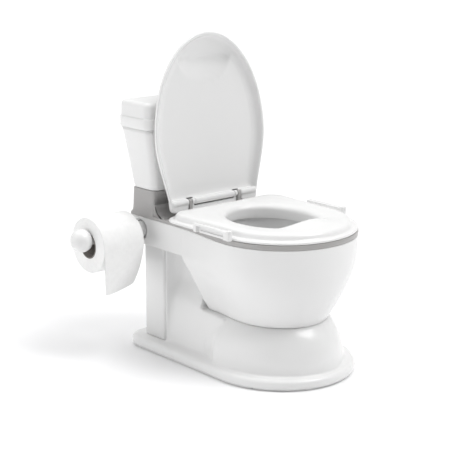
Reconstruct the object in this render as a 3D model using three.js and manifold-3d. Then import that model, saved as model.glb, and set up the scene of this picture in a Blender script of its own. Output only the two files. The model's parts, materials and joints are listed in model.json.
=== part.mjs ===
// Toddler's potty chair shaped like a small toilet: pedestal, bowl, cistern, seat, lid, pot and roll holder.
// Millimetres. +Z is up, the sitter faces -Y, and the paper roll is on the -X side.
// The origin is on the floor, under the middle of the base plate.
import * as THREE from 'three';
import { mergeVertices } from 'three/addons/utils/BufferGeometryUtils.js';
import Module from 'manifold-3d';

const wasm = await Module();
wasm.setup();

// Driving dimensions.
const GAP = 0.3;
const PLINTH = { half: 122, front: -186, centre: -58, rearHalf: 122, waist: 60, rear: 196, corner: 34 };
const PLATE_TOP = 2.5;
const PLATE_INSET = 4;
const PLINTH_TOP = 18;
const PLINTH_ROUND = 6;
const SHELL = 3.5;
const BELL_TOP = 88;
const COLUMN = { half: 98.7, front: 113, rear: 168, top: 179.7 };
const BOWL_CENTRE = -65;
const DECK_HALF = 109;
const DECK_REAR = 192;
const BAND_BOTTOM = 180;
const BAND_TOP = 225.5;
const DECK_TOP = 230;
const RIM_TOP = 233.4;
const NECK = { half: 107, front: 127, rear: 190, top: 272.7 };
const NECK_FILLET = 20;
const TANK_BOTTOM = 273;
const TANK_TOP = 375;
const TANK_LID_LIP = 393;
const TANK_LID_TOP = 419;
const HINGE = { y: 101.5, z: 253 };
const PIN = { radius: 2.6, inner: 20, outer: 87 };
const KNUCKLE = 5;
const POST = { inner: 50, outer: 56 };
const EAR = 5;
const SEAT = { bottom: 233.8, lip: 237.8, top: 249, grip: 248 };
const OPENING = { halfWidth: 66, halfLength: 83, y: -42 };
const LID = { lean: 4, y: 97, z: 238, length: 290, crown: 168, half: 117, depth: 14.5, base: 12, skin: 3 };
const POT = { y: -42, halfWidth: 72, halfLength: 90, floor: 120, flange: 7.5, wall: 2.2 };
const SPINDLE = { y: 164, z: 203.5, radius: 9.5 };
const ROLL = { z: 193.5, radius: 45.5, core: 21.5, bore: 20, left: -215, right: -136 };
const KNOB = { radius: 18.8, centre: 10.5 };
const SHEET = { bottom: 120, thickness: 1, start: 0.72 * Math.PI, drift: 2 };
const SCREW = { head: 3.5, shank: 1.5, pilot: 1.8, sunk: 0.2, length: 11.8 };
const BOLT = { head: 4, shank: 2, hole: 2.3 };
const PAD = { radius: 11, thickness: 1.2, recess: 1.5 };

const WHITE = { color: 0xf4f4f3, roughness: 0.28, metalness: 0 };
const GREY = { color: 0xb6b3b0, roughness: 0.34, metalness: 0 };
const POT_WHITE = { color: 0xe9e9e8, roughness: 0.22, metalness: 0 };
const RUBBER = { color: 0x3a3a3a, roughness: 0.85, metalness: 0 };
const STEEL = { color: 0xa9adb0, roughness: 0.3, metalness: 1 };
const PAPER = { color: 0xf7f7f5, roughness: 0.95, metalness: 0 };
const CARD = { color: 0xa98f6f, roughness: 0.9, metalness: 0 };

const group = new THREE.Group();

// Solids.

function solidOf(geometry) {
  const bare = geometry.index ? geometry.toNonIndexed() : geometry.clone();
  bare.deleteAttribute('normal');
  bare.deleteAttribute('uv');
  const merged = mergeVertices(bare, 1e-4);
  const vertProperties = new Float32Array(merged.attributes.position.array);
  const triVerts = new Uint32Array(merged.index.array);
  return new wasm.Manifold(new wasm.Mesh({ numProp: 3, vertProperties, triVerts }));
}

function geometryOf(solid) {
  const mesh = solid.getMesh();
  const geometry = new THREE.BufferGeometry();
  geometry.setAttribute('position', new THREE.BufferAttribute(new Float32Array(mesh.vertProperties), 3));
  geometry.setIndex(new THREE.BufferAttribute(new Uint32Array(mesh.triVerts), 1));
  geometry.computeVertexNormals();
  return geometry;
}

function addPart(name, solid, look, parent = group) {
  const mesh = new THREE.Mesh(geometryOf(solid), new THREE.MeshStandardMaterial(look));
  mesh.name = name;
  parent.add(mesh);
  return mesh;
}

function joinAll(solids) {
  return solids.reduce((whole, solid) => whole.add(solid));
}

function cutAll(solid, tools) {
  return tools.reduce((rest, tool) => rest.subtract(tool), solid);
}

function box(x0, x1, y0, y1, z0, z1) {
  const geometry = new THREE.BoxGeometry(x1 - x0, y1 - y0, z1 - z0);
  return solidOf(geometry.translate((x0 + x1) / 2, (y0 + y1) / 2, (z0 + z1) / 2));
}

function cylinderX(radius, x0, x1, y, z, sides = 24) {
  const geometry = new THREE.CylinderGeometry(radius, radius, x1 - x0, sides).rotateZ(Math.PI / 2);
  return solidOf(geometry.translate((x0 + x1) / 2, y, z));
}

function cylinderZ(radius, x, y, z0, z1, sides = 20) {
  const geometry = new THREE.CylinderGeometry(radius, radius, z1 - z0, sides).rotateX(Math.PI / 2);
  return solidOf(geometry.translate(x, y, (z0 + z1) / 2));
}

// A closed solid through a stack of plan outlines, each { points, z }.
function loft(rings) {
  const count = rings[0].points.length;
  const positions = rings.flatMap(({ points, z }) => points.flatMap((p) => [p.x, p.y, z]));
  const index = [];
  for (let ring = 0; ring < rings.length - 1; ring += 1) {
    for (let i = 0; i < count; i += 1) {
      const a = ring * count + i;
      const b = ring * count + ((i + 1) % count);
      index.push(a, b, b + count, a, b + count, a + count);
    }
  }
  const top = (rings.length - 1) * count;
  for (const [a, b, c] of THREE.ShapeUtils.triangulateShape(rings[0].points, [])) {
    index.push(a, c, b);
  }
  for (const [a, b, c] of THREE.ShapeUtils.triangulateShape(rings.at(-1).points, [])) {
    index.push(top + a, top + b, top + c);
  }
  const geometry = new THREE.BufferGeometry();
  geometry.setAttribute('position', new THREE.Float32BufferAttribute(positions, 3));
  geometry.setIndex(index);
  return solidOf(geometry);
}

// Plan outline with a half-elliptical front, tapering sides and a square back with rounded corners.
function outline({ half, front, centre, rearHalf, waist, rear, corner }, arcs = 9) {
  const side = [];
  for (let i = 0; i <= arcs; i += 1) {
    const angle = (i / arcs) * (Math.PI / 2);
    side.push(new THREE.Vector2(half * Math.sin(angle), centre - (centre - front) * Math.cos(angle)));
  }
  side.push(new THREE.Vector2(rearHalf, waist));
  for (let i = 0; i <= 4; i += 1) {
    const angle = (i / 4) * (Math.PI / 2);
    const x = rearHalf - corner + corner * Math.cos(angle);
    side.push(new THREE.Vector2(x, rear - corner + corner * Math.sin(angle)));
  }
  const mirrored = side.slice(1).reverse().map((p) => new THREE.Vector2(-p.x, p.y));
  return [...side, ...mirrored];
}

function inset(plan, by) {
  return {
    ...plan,
    half: plan.half - by,
    front: plan.front + by,
    rearHalf: plan.rearHalf - by,
    rear: plan.rear - by,
    corner: Math.max(plan.corner - by, 2),
  };
}

function ellipse(halfWidth, halfLength, y, steps = 36) {
  return new THREE.EllipseCurve(0, y, halfWidth, halfLength, 0, Math.PI * 2).getPoints(steps).slice(0, -1);
}

function rectangle(half, front, rear, corner) {
  const shape = new THREE.Shape();
  shape.absarc(half - corner, front + corner, corner, -Math.PI / 2, 0);
  shape.absarc(half - corner, rear - corner, corner, 0, Math.PI / 2);
  shape.absarc(corner - half, rear - corner, corner, Math.PI / 2, Math.PI);
  shape.absarc(corner - half, front + corner, corner, Math.PI, Math.PI * 1.5);
  return shape.getPoints(4).slice(0, -1);
}

// Base: plinth, bell and web as one hollow moulding, closed from below by the base plate.

function plinthRings(by, top, round) {
  const plan = inset(PLINTH, by);
  return [
    { points: outline(plan), z: PLATE_TOP + GAP },
    { points: outline(plan), z: top - round },
    { points: outline(inset(plan, round * 0.3)), z: top - round * 0.3 },
    { points: outline(inset(plan, round)), z: top },
  ];
}

const BELL_PROFILE = [
  { z: 10, spread: 1 },
  { z: 32, spread: 0.99 },
  { z: 52, spread: 0.95 },
  { z: 68, spread: 0.88 },
  { z: 79, spread: 0.8 },
  { z: BELL_TOP, spread: 0.7 },
];

function bellRings(by, top, bottom) {
  const rings = BELL_PROFILE.map(({ z, spread }) => {
    const centre = THREE.MathUtils.mapLinear(spread, 1, 0.7, -30, -52);
    const plan = {
      half: 110 * spread - by,
      front: THREE.MathUtils.mapLinear(spread, 1, 0.7, -173, -140) + by,
      centre,
      rearHalf: 98 * spread - by,
      waist: 0,
      rear: 32 - by,
      corner: 24,
    };
    return { points: outline(plan), z: Math.min(Math.max(z, bottom), top) };
  });
  return rings.filter((ring, i) => i === 0 || ring.z > rings[i - 1].z);
}

const WEB_PROFILE = [
  { z: 10, half: 97 },
  { z: 30, half: 94 },
  { z: 60, half: 89 },
  { z: 90, half: 82 },
  { z: 112, half: 72 },
  { z: 128, half: 66 },
  { z: COLUMN.top, half: 64 },
];

const WEB = { front: -20, bend: 72, flare: 97.5 };

// The web is as wide as the column where it meets it, and curves in to its own half width in front of that.
function webOutline(half, by) {
  const rear = COLUMN.front - GAP - by;
  const curve = new THREE.QuadraticBezierCurve(
    new THREE.Vector2(half - by, WEB.bend),
    new THREE.Vector2(half - by, rear - 6),
    new THREE.Vector2(WEB.flare - by, rear - 3),
  ).getPoints(6);
  const side = [new THREE.Vector2(half - by, WEB.front + by), ...curve, new THREE.Vector2(WEB.flare - by, rear)];
  return [...side, ...side.map((p) => new THREE.Vector2(-p.x, p.y)).reverse()];
}

function webRings(by) {
  return WEB_PROFILE.map(({ z, half }) => ({
    points: webOutline(half, by),
    z: z === COLUMN.top ? z - by : z,
  }));
}

const BOWL_PROFILE = [
  { z: BELL_TOP + GAP, half: 75, rear: 38, rearHalf: 70 },
  { z: 104, half: 85, rear: 42, rearHalf: 78 },
  { z: 128, half: 98, rear: 48, rearHalf: 89 },
  { z: 154, half: 110, rear: 53, rearHalf: 100 },
  { z: BAND_BOTTOM + 2, half: 119, rear: 58, rearHalf: DECK_HALF },
];

function bowlRings(by, lift) {
  const last = BOWL_PROFILE.length - 1;
  return BOWL_PROFILE.map(({ z, half, rear, rearHalf }, i) => {
    const centre = THREE.MathUtils.mapLinear(half, 75, 119, -52, BOWL_CENTRE);
    const front = THREE.MathUtils.mapLinear(half, 75, 119, -139, BOWL_CENTRE - 119);
    const plan = { half, front, centre, rearHalf, waist: 15, rear, corner: 10 };
    return { points: outline(inset(plan, by)), z: i === 0 || i === last ? z + lift : z };
  });
}

const BASE_SCREWS = [[-102, -112], [102, -112], [-109, 78], [109, 78]];
const PADS = [[-62, -138], [62, -138], [-92, 150], [92, 150]];

function makeBase() {
  const plateRings = [0, PLATE_TOP].map((z) => ({ points: outline(inset(PLINTH, PLATE_INSET)), z }));
  const plateHoles = BASE_SCREWS.flatMap(([x, y]) => [
    cylinderZ(SCREW.head + GAP, x, y, -1, 2.1, 16),
    cylinderZ(SCREW.pilot, x, y, -1, PLATE_TOP + 1, 12),
  ]);
  const padHoles = PADS.map(([x, y]) => cylinderZ(PAD.radius + GAP, x, y, -1, PAD.recess));
  addPart('base_plate', cutAll(loft(plateRings), [...plateHoles, ...padHoles]), WHITE);
  PADS.forEach(([x, y], i) => {
    addPart(`rubber_pad_${i + 1}`, cylinderZ(PAD.radius, x, y, 0, PAD.thickness), RUBBER);
  });

  const clearBowl = loft(bowlRings(-GAP, -GAP - 2));
  const clearWall = loft(bowlRings(-GAP - SHELL, -GAP - SHELL - 2));
  const outer = joinAll([
    loft(plinthRings(0, PLINTH_TOP, PLINTH_ROUND)),
    loft(bellRings(0, BELL_TOP, 10)),
    loft(webRings(0)).subtract(clearBowl),
  ]);
  const inner = joinAll([
    loft(plinthRings(SHELL, PLINTH_TOP - SHELL, 2)),
    loft(bellRings(SHELL, BELL_TOP - SHELL, 10)),
    loft(webRings(SHELL)).subtract(clearWall),
  ]);
  const mouth = loft([0, 8].map((z) => ({ points: outline(inset(PLINTH, SHELL)), z })));
  const bosses = BASE_SCREWS.map(([x, y]) => cylinderZ(5, x, y, PLATE_TOP + GAP, PLINTH_TOP - 1, 12));
  const pilots = BASE_SCREWS.map(([x, y]) => cylinderZ(SCREW.pilot, x, y, 0, SCREW.length + 1.2, 12));
  const shell = outer.subtract(inner.add(mouth)).add(joinAll(bosses)).subtract(joinAll(pilots));
  addPart('pedestal', shell, WHITE);
  BASE_SCREWS.forEach(([x, y], i) => {
    const head = cylinderZ(SCREW.head, x, y, SCREW.sunk, SCREW.sunk + 1.6, 16);
    const shank = cylinderZ(SCREW.shank, x, y, SCREW.sunk, SCREW.sunk + SCREW.length, 12);
    addPart(`base_screw_${i + 1}`, head.add(shank), STEEL);
  });

  const { half, front, rear, top } = COLUMN;
  const columnOuter = [PLINTH_TOP + GAP, top].map((z) => ({ points: rectangle(half, front, rear, 5), z }));
  const columnInner = [PLINTH_TOP - 1, top - SHELL].map((z) => ({
    points: rectangle(half - SHELL, front + SHELL, rear - SHELL, 3),
    z,
  }));
  addPart('rear_column', loft(columnOuter).subtract(loft(columnInner)), WHITE);
}

// Bowl shell with the deck band behind it, and the grey rim, deck and neck above.

const DECK_PLAN = {
  half: 121,
  front: BOWL_CENTRE - 121,
  centre: BOWL_CENTRE,
  rearHalf: DECK_HALF,
  waist: 57,
  rear: DECK_REAR,
  corner: 5,
};
const SOCKET_RADIUS = 19;

function makeBowl() {
  const band = loft([BAND_BOTTOM, BAND_TOP].map((z) => ({ points: outline(DECK_PLAN), z })));
  const well = loft(bowlRings(SHELL, SHELL));
  const bandInside = loft([BAND_BOTTOM + SHELL, BAND_TOP + 1].map((z) => ({
    points: outline(inset(DECK_PLAN, SHELL)),
    z,
  })));
  const socketHole = cylinderX(SOCKET_RADIUS, -DECK_HALF - 1, -DECK_HALF + SHELL + 1, SPINDLE.y - 1, SPINDLE.z, 32);
  const shell = cutAll(loft(bowlRings(0, 0)).add(band), [well, bandInside, socketHole]);
  addPart('bowl_shell', shell, WHITE);
}

function postSolid(side) {
  const shape = new THREE.Shape();
  shape.moveTo(HINGE.y + KNUCKLE, DECK_TOP - 1);
  shape.lineTo(HINGE.y + KNUCKLE, HINGE.z);
  shape.absarc(HINGE.y, HINGE.z, KNUCKLE, 0, Math.PI);
  shape.lineTo(HINGE.y - KNUCKLE, DECK_TOP - 1);
  return extrudeX(shape, side * POST.inner, side * POST.outer);
}

// A profile drawn in Y and Z, extruded along X.
function extrudeX(shape, xa, xb, curveSegments = 8) {
  const x0 = Math.min(xa, xb);
  const depth = Math.abs(xb - xa);
  const geometry = new THREE.ExtrudeGeometry(shape, { depth, bevelEnabled: false, curveSegments });
  const basis = new THREE.Matrix4().makeBasis(
    new THREE.Vector3(0, 1, 0),
    new THREE.Vector3(0, 0, 1),
    new THREE.Vector3(1, 0, 0),
  );
  return solidOf(geometry.applyMatrix4(basis).translate(x0, 0, 0));
}

const TANK_SCREWS = [[-60, 155], [60, 155]];

function makeRimDeck() {
  const deck = loft([BAND_TOP + GAP, DECK_TOP].map((z) => ({ points: outline(DECK_PLAN), z })));
  const rimPlan = { ...DECK_PLAN, rear: 88, waist: 50 };
  const rim = loft([
    { points: outline(rimPlan), z: BAND_TOP + 1 },
    { points: outline(rimPlan), z: RIM_TOP - 1.5 },
    { points: outline(inset(rimPlan, 1.5)), z: RIM_TOP },
  ]);
  const neck = loft([
    { points: rectangle(NECK.half + 2, NECK.front, NECK.rear + 4, 8), z: DECK_TOP - 1 },
    { points: rectangle(NECK.half, NECK.front, NECK.rear, 8), z: DECK_TOP + 5 },
    { points: rectangle(NECK.half - 1, NECK.front + 1, NECK.rear - 2, 8), z: NECK.top },
  ]);
  const fillet = new THREE.Shape();
  fillet.moveTo(NECK.front + 4, DECK_TOP - 1);
  fillet.lineTo(NECK.front + 4, DECK_TOP + NECK_FILLET);
  fillet.lineTo(NECK.front + 0.3, DECK_TOP + NECK_FILLET);
  fillet.absarc(NECK.front - NECK_FILLET, DECK_TOP + NECK_FILLET, NECK_FILLET, 0, -Math.PI / 2, true);
  fillet.lineTo(NECK.front - NECK_FILLET, DECK_TOP - 1);
  const { flange } = POT;
  const cuts = [
    loft([RIM_TOP - 2.4, RIM_TOP + 1].map((z) => ({
      points: ellipse(POT.halfWidth + flange + 0.5, POT.halfLength + flange + 0.5, POT.y),
      z,
    }))),
    loft([BAND_TOP - 1, RIM_TOP].map((z) => ({
      points: ellipse(POT.halfWidth + 0.8, POT.halfLength + 0.8, POT.y),
      z,
    }))),
    box(4 - NECK.half, NECK.half - 4, NECK.front + 4, NECK.rear - 5, BAND_TOP - 1, NECK.top - 4),
    ...TANK_SCREWS.map(([x, y]) => cylinderZ(BOLT.hole, x, y, NECK.top - 6, NECK.top + 1, 12)),
    cylinderX(PIN.radius + GAP, -POST.outer - 1, POST.outer + 1, HINGE.y, HINGE.z, 16),
  ];
  const body = joinAll([deck, rim, neck, extrudeX(fillet, 2 - NECK.half, NECK.half - 2), postSolid(-1), postSolid(1)]);
  addPart('rim_deck', cutAll(body, cuts), GREY);
}

// Cistern and its lift-off cover.

const TANK_WALL = 3;
const TANK_PROFILE = [
  { z: TANK_BOTTOM, half: 106, front: 128, rear: 188, corner: 12 },
  { z: TANK_TOP - 12, half: 118, front: 126.5, rear: 200, corner: 12 },
  { z: TANK_TOP, half: 120, front: 126, rear: 202, corner: 12 },
];
const COVER_PROFILE = [
  { z: TANK_TOP + GAP, half: 122.5, front: 124, rear: 204.5, corner: 13 },
  { z: TANK_LID_LIP - 1.5, half: 122.5, front: 124, rear: 204.5, corner: 13 },
  { z: TANK_LID_LIP, half: 121, front: 125.5, rear: 203, corner: 12 },
  { z: TANK_LID_TOP - 8, half: 120, front: 126, rear: 202, corner: 12 },
  { z: TANK_LID_TOP - 2, half: 117.5, front: 128.5, rear: 199.5, corner: 11 },
  { z: TANK_LID_TOP, half: 113, front: 133, rear: 195, corner: 9 },
];
const COVER_HOLLOW = [
  { z: TANK_TOP - 1, half: 117.5, front: 129, rear: 199, corner: 10 },
  { z: TANK_LID_TOP - 10, half: 116, front: 130, rear: 198, corner: 10 },
  { z: TANK_LID_TOP - 4, half: 112, front: 134, rear: 194, corner: 8 },
];

function boxLoft(profile, by = 0) {
  return loft(profile.map(({ z, half, front, rear, corner }) => ({
    points: rectangle(half - by, front + by, rear - by, corner - by),
    z,
  })));
}

function makeTank() {
  const [floor, shoulder, mouth] = TANK_PROFILE;
  const hollow = boxLoft([
    { ...floor, z: floor.z + TANK_WALL },
    shoulder,
    { ...mouth, z: mouth.z + 1 },
  ], TANK_WALL);
  const holes = TANK_SCREWS.map(([x, y]) => cylinderZ(BOLT.hole, x, y, TANK_BOTTOM - 1, TANK_BOTTOM + 4, 12));
  addPart('tank', cutAll(boxLoft(TANK_PROFILE), [hollow, ...holes]), WHITE);
  const headBottom = TANK_BOTTOM + TANK_WALL + GAP;
  TANK_SCREWS.forEach(([x, y], i) => {
    const head = cylinderZ(BOLT.head, x, y, headBottom, headBottom + 2.2, 16);
    const shank = cylinderZ(BOLT.shank, x, y, TANK_BOTTOM - 11, headBottom + 1, 12);
    addPart(`tank_screw_${i + 1}`, head.add(shank), STEEL);
  });
  addPart('tank_lid', boxLoft(COVER_PROFILE).subtract(boxLoft(COVER_HOLLOW)), WHITE);
}

// Seat with side grips, a splash guard and two hinge ears at the rear.

const GRIP = { inner: 118.5, outer: 128.5, front: -84, rear: 2, pocketFront: -71, pocketRear: -6 };
const GUARD = { height: 10, halfAngle: 36 };
const SEAT_PLAN = { half: 120, front: -185, centre: BOWL_CENTRE, rearHalf: 122, waist: 10, rear: 88, corner: 28 };

function seatGuard() {
  const steps = 14;
  const ring = (offset, lift) => {
    const points = [];
    for (let i = 0; i <= steps; i += 1) {
      const angle = THREE.MathUtils.degToRad(GUARD.halfAngle * ((2 * i) / steps - 1));
      const rise = Math.cos((Math.PI / 2) * ((2 * i) / steps - 1)) ** 2;
      const x = (OPENING.halfWidth + offset) * Math.sin(angle);
      const y = OPENING.y - (OPENING.halfLength + offset) * Math.cos(angle);
      points.push([x, y, lift ? SEAT.top - 1 + GUARD.height * rise : SEAT.lip - 2]);
    }
    return points;
  };
  const section = [ring(0.5, true), ring(6, true), ring(14, false), ring(0.5, false)];
  const positions = section.flat(2);
  const row = steps + 1;
  const index = [];
  for (let side = 0; side < 4; side += 1) {
    const next = (side + 1) % 4;
    for (let i = 0; i < steps; i += 1) {
      const [a, b] = [side * row + i, side * row + i + 1];
      const [c, d] = [next * row + i, next * row + i + 1];
      index.push(a, d, b, a, c, d);
    }
  }
  index.push(0, 2 * row, row, 0, 3 * row, 2 * row);
  const end = row - 1;
  index.push(end, end + row, end + 2 * row, end, end + 2 * row, end + 3 * row);
  const geometry = new THREE.BufferGeometry();
  geometry.setAttribute('position', new THREE.Float32BufferAttribute(positions, 3));
  geometry.setIndex(index);
  return solidOf(geometry);
}

// The rail on the +X side: a boss at its front end, a finger pocket open outward, a shelf that ties it to the seat.
function gripSolid() {
  const { inner, outer, front, rear, pocketFront, pocketRear } = GRIP;
  const middle = (inner + outer) / 2;
  const radius = (outer - inner) / 2;
  const rail = box(inner, outer, front + radius, rear - radius, SEAT.bottom, SEAT.grip);
  const boss = cylinderZ(radius, middle, front + radius, SEAT.bottom, SEAT.grip + 2);
  const end = cylinderZ(radius, middle, rear - radius, SEAT.bottom, SEAT.grip);
  const shelf = box(inner - 8, middle, front + 12, rear - 12, SEAT.bottom, SEAT.lip);
  const pocket = box(middle - 2, outer + 1, pocketFront, pocketRear, SEAT.bottom - 1, SEAT.grip - 3);
  return joinAll([rail, boss, end, shelf]).subtract(pocket);
}

function makeSeat() {
  const lip = loft([
    { points: outline(inset(SEAT_PLAN, 1)), z: SEAT.bottom },
    { points: outline(SEAT_PLAN), z: SEAT.bottom + 1.2 },
    { points: outline(SEAT_PLAN), z: SEAT.lip - 1.5 },
    { points: outline(inset(SEAT_PLAN, 1.5)), z: SEAT.lip },
  ]);
  const bodyPlan = inset({ ...SEAT_PLAN, rear: 86.5, rearHalf: 120.5 }, 9.5);
  const body = loft([
    { points: outline(bodyPlan), z: SEAT.lip - 1 },
    { points: outline(inset(bodyPlan, 1.5)), z: SEAT.top - 3 },
    { points: outline(inset(bodyPlan, 5)), z: SEAT.top },
  ]);
  const skirt = loft([SEAT.bottom - 9, SEAT.bottom + 1].map((z) => ({
    points: ellipse(OPENING.halfWidth + 2.2, OPENING.halfLength + 2.2, OPENING.y),
    z,
  })));
  const hole = loft([
    { points: ellipse(OPENING.halfWidth - 0.5, OPENING.halfLength - 0.5, OPENING.y), z: SEAT.bottom - 10 },
    { points: ellipse(OPENING.halfWidth, OPENING.halfLength, OPENING.y), z: SEAT.top - 4 },
    { points: ellipse(OPENING.halfWidth + 1, OPENING.halfLength + 1, OPENING.y), z: SEAT.top + 30 },
  ]);
  const tongue = { front: 70, rear: HINGE.y + 3, wall: 4 };
  const arm = new THREE.Shape();
  arm.moveTo(tongue.front, SEAT.bottom);
  arm.lineTo(tongue.rear, SEAT.bottom);
  arm.lineTo(tongue.rear, HINGE.z);
  arm.lineTo(tongue.rear - tongue.wall, HINGE.z);
  arm.lineTo(tongue.rear - tongue.wall, SEAT.lip - 1);
  arm.lineTo(tongue.front, SEAT.lip - 1);
  const reach = POST.inner - 1;
  const ear = reach - EAR;
  const bore = cylinderX(PIN.radius + GAP, -reach - 1, reach + 1, HINGE.y, HINGE.z, 16);
  const whole = joinAll([
    lip,
    body,
    skirt,
    box(-reach, reach, tongue.front, tongue.rear, SEAT.bottom, SEAT.lip - 1),
    box(-reach, reach, tongue.rear - tongue.wall, tongue.rear, SEAT.bottom, HINGE.z - KNUCKLE - 2.5),
    extrudeX(arm, -reach, -ear),
    extrudeX(arm, ear, reach),
    cylinderX(KNUCKLE, -reach, -ear, HINGE.y, HINGE.z, 20),
    cylinderX(KNUCKLE, ear, reach, HINGE.y, HINGE.z, 20),
    gripSolid(),
    gripSolid().mirror([1, 0, 0]),
    seatGuard(),
  ]);
  addPart('seat', cutAll(whole, [hole, bore]), WHITE);
}

// Lid, drawn flat from its rim plane (z = 0) with y running from the hinge feet to the free end.

// The feet reach down past the hinge axis, outside the two posts.
function feetShape() {
  const foot = { inner: POST.outer + 1, outer: 93, top: LID.base };
  const shape = new THREE.Shape();
  shape.moveTo(foot.inner, foot.top + 5);
  shape.lineTo(foot.inner, 5);
  shape.quadraticCurveTo(foot.inner, 0, foot.inner + 5, 0);
  shape.lineTo(foot.outer - 9, 0);
  shape.quadraticCurveTo(foot.outer - 1, 0, foot.outer, 9);
  shape.lineTo(foot.outer + 1.5, foot.top + 5);
  return shape;
}

function lidOutline(by) {
  const middle = LID.length - LID.crown;
  const side = new THREE.CubicBezierCurve(
    new THREE.Vector2(93.5 - by, LID.base + by),
    new THREE.Vector2(100 - by, 48),
    new THREE.Vector2(LID.half - by, middle - 36),
    new THREE.Vector2(LID.half - by, middle),
  ).getPoints(7);
  const crown = new THREE.EllipseCurve(0, middle, LID.half - by, LID.crown - by, 0, Math.PI).getPoints(26);
  const mirrored = side.slice(0, -1).reverse().map((p) => new THREE.Vector2(-p.x, p.y));
  return [...side, ...crown.slice(1), ...mirrored];
}

function extrudeUp(shape, z0, z1, curveSegments = 14) {
  const geometry = new THREE.ExtrudeGeometry(shape, { depth: z1 - z0, bevelEnabled: false, curveSegments });
  return solidOf(geometry.translate(0, 0, z0));
}

function makeLid() {
  const lean = THREE.MathUtils.degToRad(LID.lean);
  const [s, c] = [Math.sin(lean), Math.cos(lean)];
  const along = (HINGE.y - LID.y) * s + (HINGE.z - LID.z) * c;
  const above = (HINGE.y - LID.y) * c - (HINGE.z - LID.z) * s;
  const pocketY = LID.length - 58;
  const pocketDepth = 5;
  const floor = LID.depth - LID.skin;
  const back = [[0, 0], [5, 0], [9, 3], [12, 9], [LID.depth, 22]];
  const recess = [[-1, 5], [5, 6], [8.5, 9], [floor, 17]];
  const level = ([z, by]) => ({ points: lidOutline(by), z });
  const oval = (halfWidth, halfLength, z) => ({ points: ellipse(halfWidth, halfLength, pocketY, 28), z });
  const reach = PIN.outer + 4;
  const bar = POST.inner - EAR - 2;
  const shell = joinAll([
    loft(back.map(level)),
    extrudeUp(feetShape(), 0, 9),
    extrudeUp(feetShape(), 0, 9).mirror([1, 0, 0]),
    cylinderX(KNUCKLE + 0.5, -bar, bar, along, above, 20),
    loft([oval(51, 37, floor), oval(40, 27, LID.depth + pocketDepth)]),
    cylinderX(KNUCKLE + 0.5, -reach, -POST.outer - 1, along, above, 20),
    cylinderX(KNUCKLE + 0.5, POST.outer + 1, reach, along, above, 20),
  ]);
  const notch = box(bar + 0.5, POST.outer + 0.5, -1, along + KNUCKLE + 1, -6, LID.depth + 1);
  const cuts = [
    notch,
    notch.mirror([1, 0, 0]),
    loft(recess.map(level)),
    loft([oval(48, 34, floor - 0.5), oval(37, 24, floor + pocketDepth)]),
    cylinderX(PIN.radius + GAP, -PIN.outer - 1, PIN.outer + 1, along, above, 16),
  ];
  const hingeGroup = new THREE.Group();
  hingeGroup.applyMatrix4(new THREE.Matrix4().makeBasis(
    new THREE.Vector3(-1, 0, 0),
    new THREE.Vector3(0, s, c),
    new THREE.Vector3(0, c, -s),
  ).setPosition(0, LID.y, LID.z));
  group.add(hingeGroup);
  addPart('lid', cutAll(shell, cuts), WHITE, hingeGroup);
  const pin = cylinderX(PIN.radius, PIN.inner, PIN.outer, HINGE.y, HINGE.z, 16);
  addPart('hinge_pin_left', pin, STEEL);
  addPart('hinge_pin_right', pin.mirror([1, 0, 0]), STEEL);
}

// Removable pot that hangs by its flange in the rim.

function makePot() {
  const { y, halfWidth, halfLength, floor, flange, wall } = POT;
  const level = (z, grow) => ({ points: ellipse(halfWidth + grow, halfLength + grow, y), z });
  const cup = loft([
    level(floor, -30),
    level(floor + 8, -17),
    level(floor + 40, -6),
    level(RIM_TOP - 6, 0),
    level(RIM_TOP - 0.4, 0),
  ]);
  const rim = loft([level(RIM_TOP - 2.1, flange), level(RIM_TOP - 0.4, flange)]);
  const inside = loft([
    level(floor + wall, -31),
    level(floor + 9, -19),
    level(floor + 40, -6 - wall),
    level(RIM_TOP - 6, -wall),
    level(RIM_TOP + 1, -wall),
  ]);
  addPart('pot', cup.add(rim).subtract(inside), POT_WHITE);
}

// Paper roll holder on the side of the deck band.

function makeHolder() {
  const { y, z, radius } = SPINDLE;
  const wall = -DECK_HALF;
  const cup = joinAll([
    cylinderX(SOCKET_RADIUS - GAP, wall + 6, wall + 9, y - 1, z, 32),
    cylinderX(SOCKET_RADIUS - GAP, wall + 1, wall + 7, y - 1, z, 32)
      .subtract(cylinderX(SOCKET_RADIUS - 2.5, wall, wall + 6, y - 1, z, 32)),
  ]);
  addPart('holder_socket', cup.subtract(cylinderX(BOLT.hole, wall, wall + 12, y, z, 12)), WHITE);

  const tip = ROLL.left - 1;
  const arm = joinAll([
    cylinderX(14, wall - 9, wall + 6 - GAP, y, z, 28),
    cylinderX(radius, tip, wall, y, z, 24),
    cylinderX(5, tip - 14, tip + 1, y, z, 16),
  ]);
  addPart('spindle', arm.subtract(cylinderX(BOLT.hole, wall - 8, wall + 8, y, z, 12)), WHITE);
  const head = cylinderX(BOLT.head, wall + 9 + GAP, wall + 11.5, y, z, 16);
  addPart('spindle_screw', head.add(cylinderX(BOLT.shank, wall - 7, wall + 10, y, z, 12)), STEEL);

  const profile = [new THREE.Vector2(0, 0)];
  for (let i = 0; i <= 10; i += 1) {
    const angle = THREE.MathUtils.mapLinear(i, 0, 10, -0.22, 0.5) * Math.PI;
    profile.push(new THREE.Vector2(KNOB.radius * Math.cos(angle), KNOB.centre + KNOB.radius * Math.sin(angle)));
  }
  profile[1].y = 0;
  profile.at(-1).x = 0;
  const knob = new THREE.LatheGeometry(profile, 32);
  const dome = solidOf(knob.rotateZ(Math.PI / 2).translate(tip - GAP, y, z));
  addPart('spindle_knob', dome.subtract(cylinderX(5 + GAP, tip - 14.5, tip + 1, y, z, 16)), WHITE);
}

function ringX(outer, inner, x0, x1, y, z, sides) {
  return cylinderX(outer, x0, x1, y, z, sides).subtract(cylinderX(inner, x0 - 1, x1 + 1, y, z, sides));
}

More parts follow.
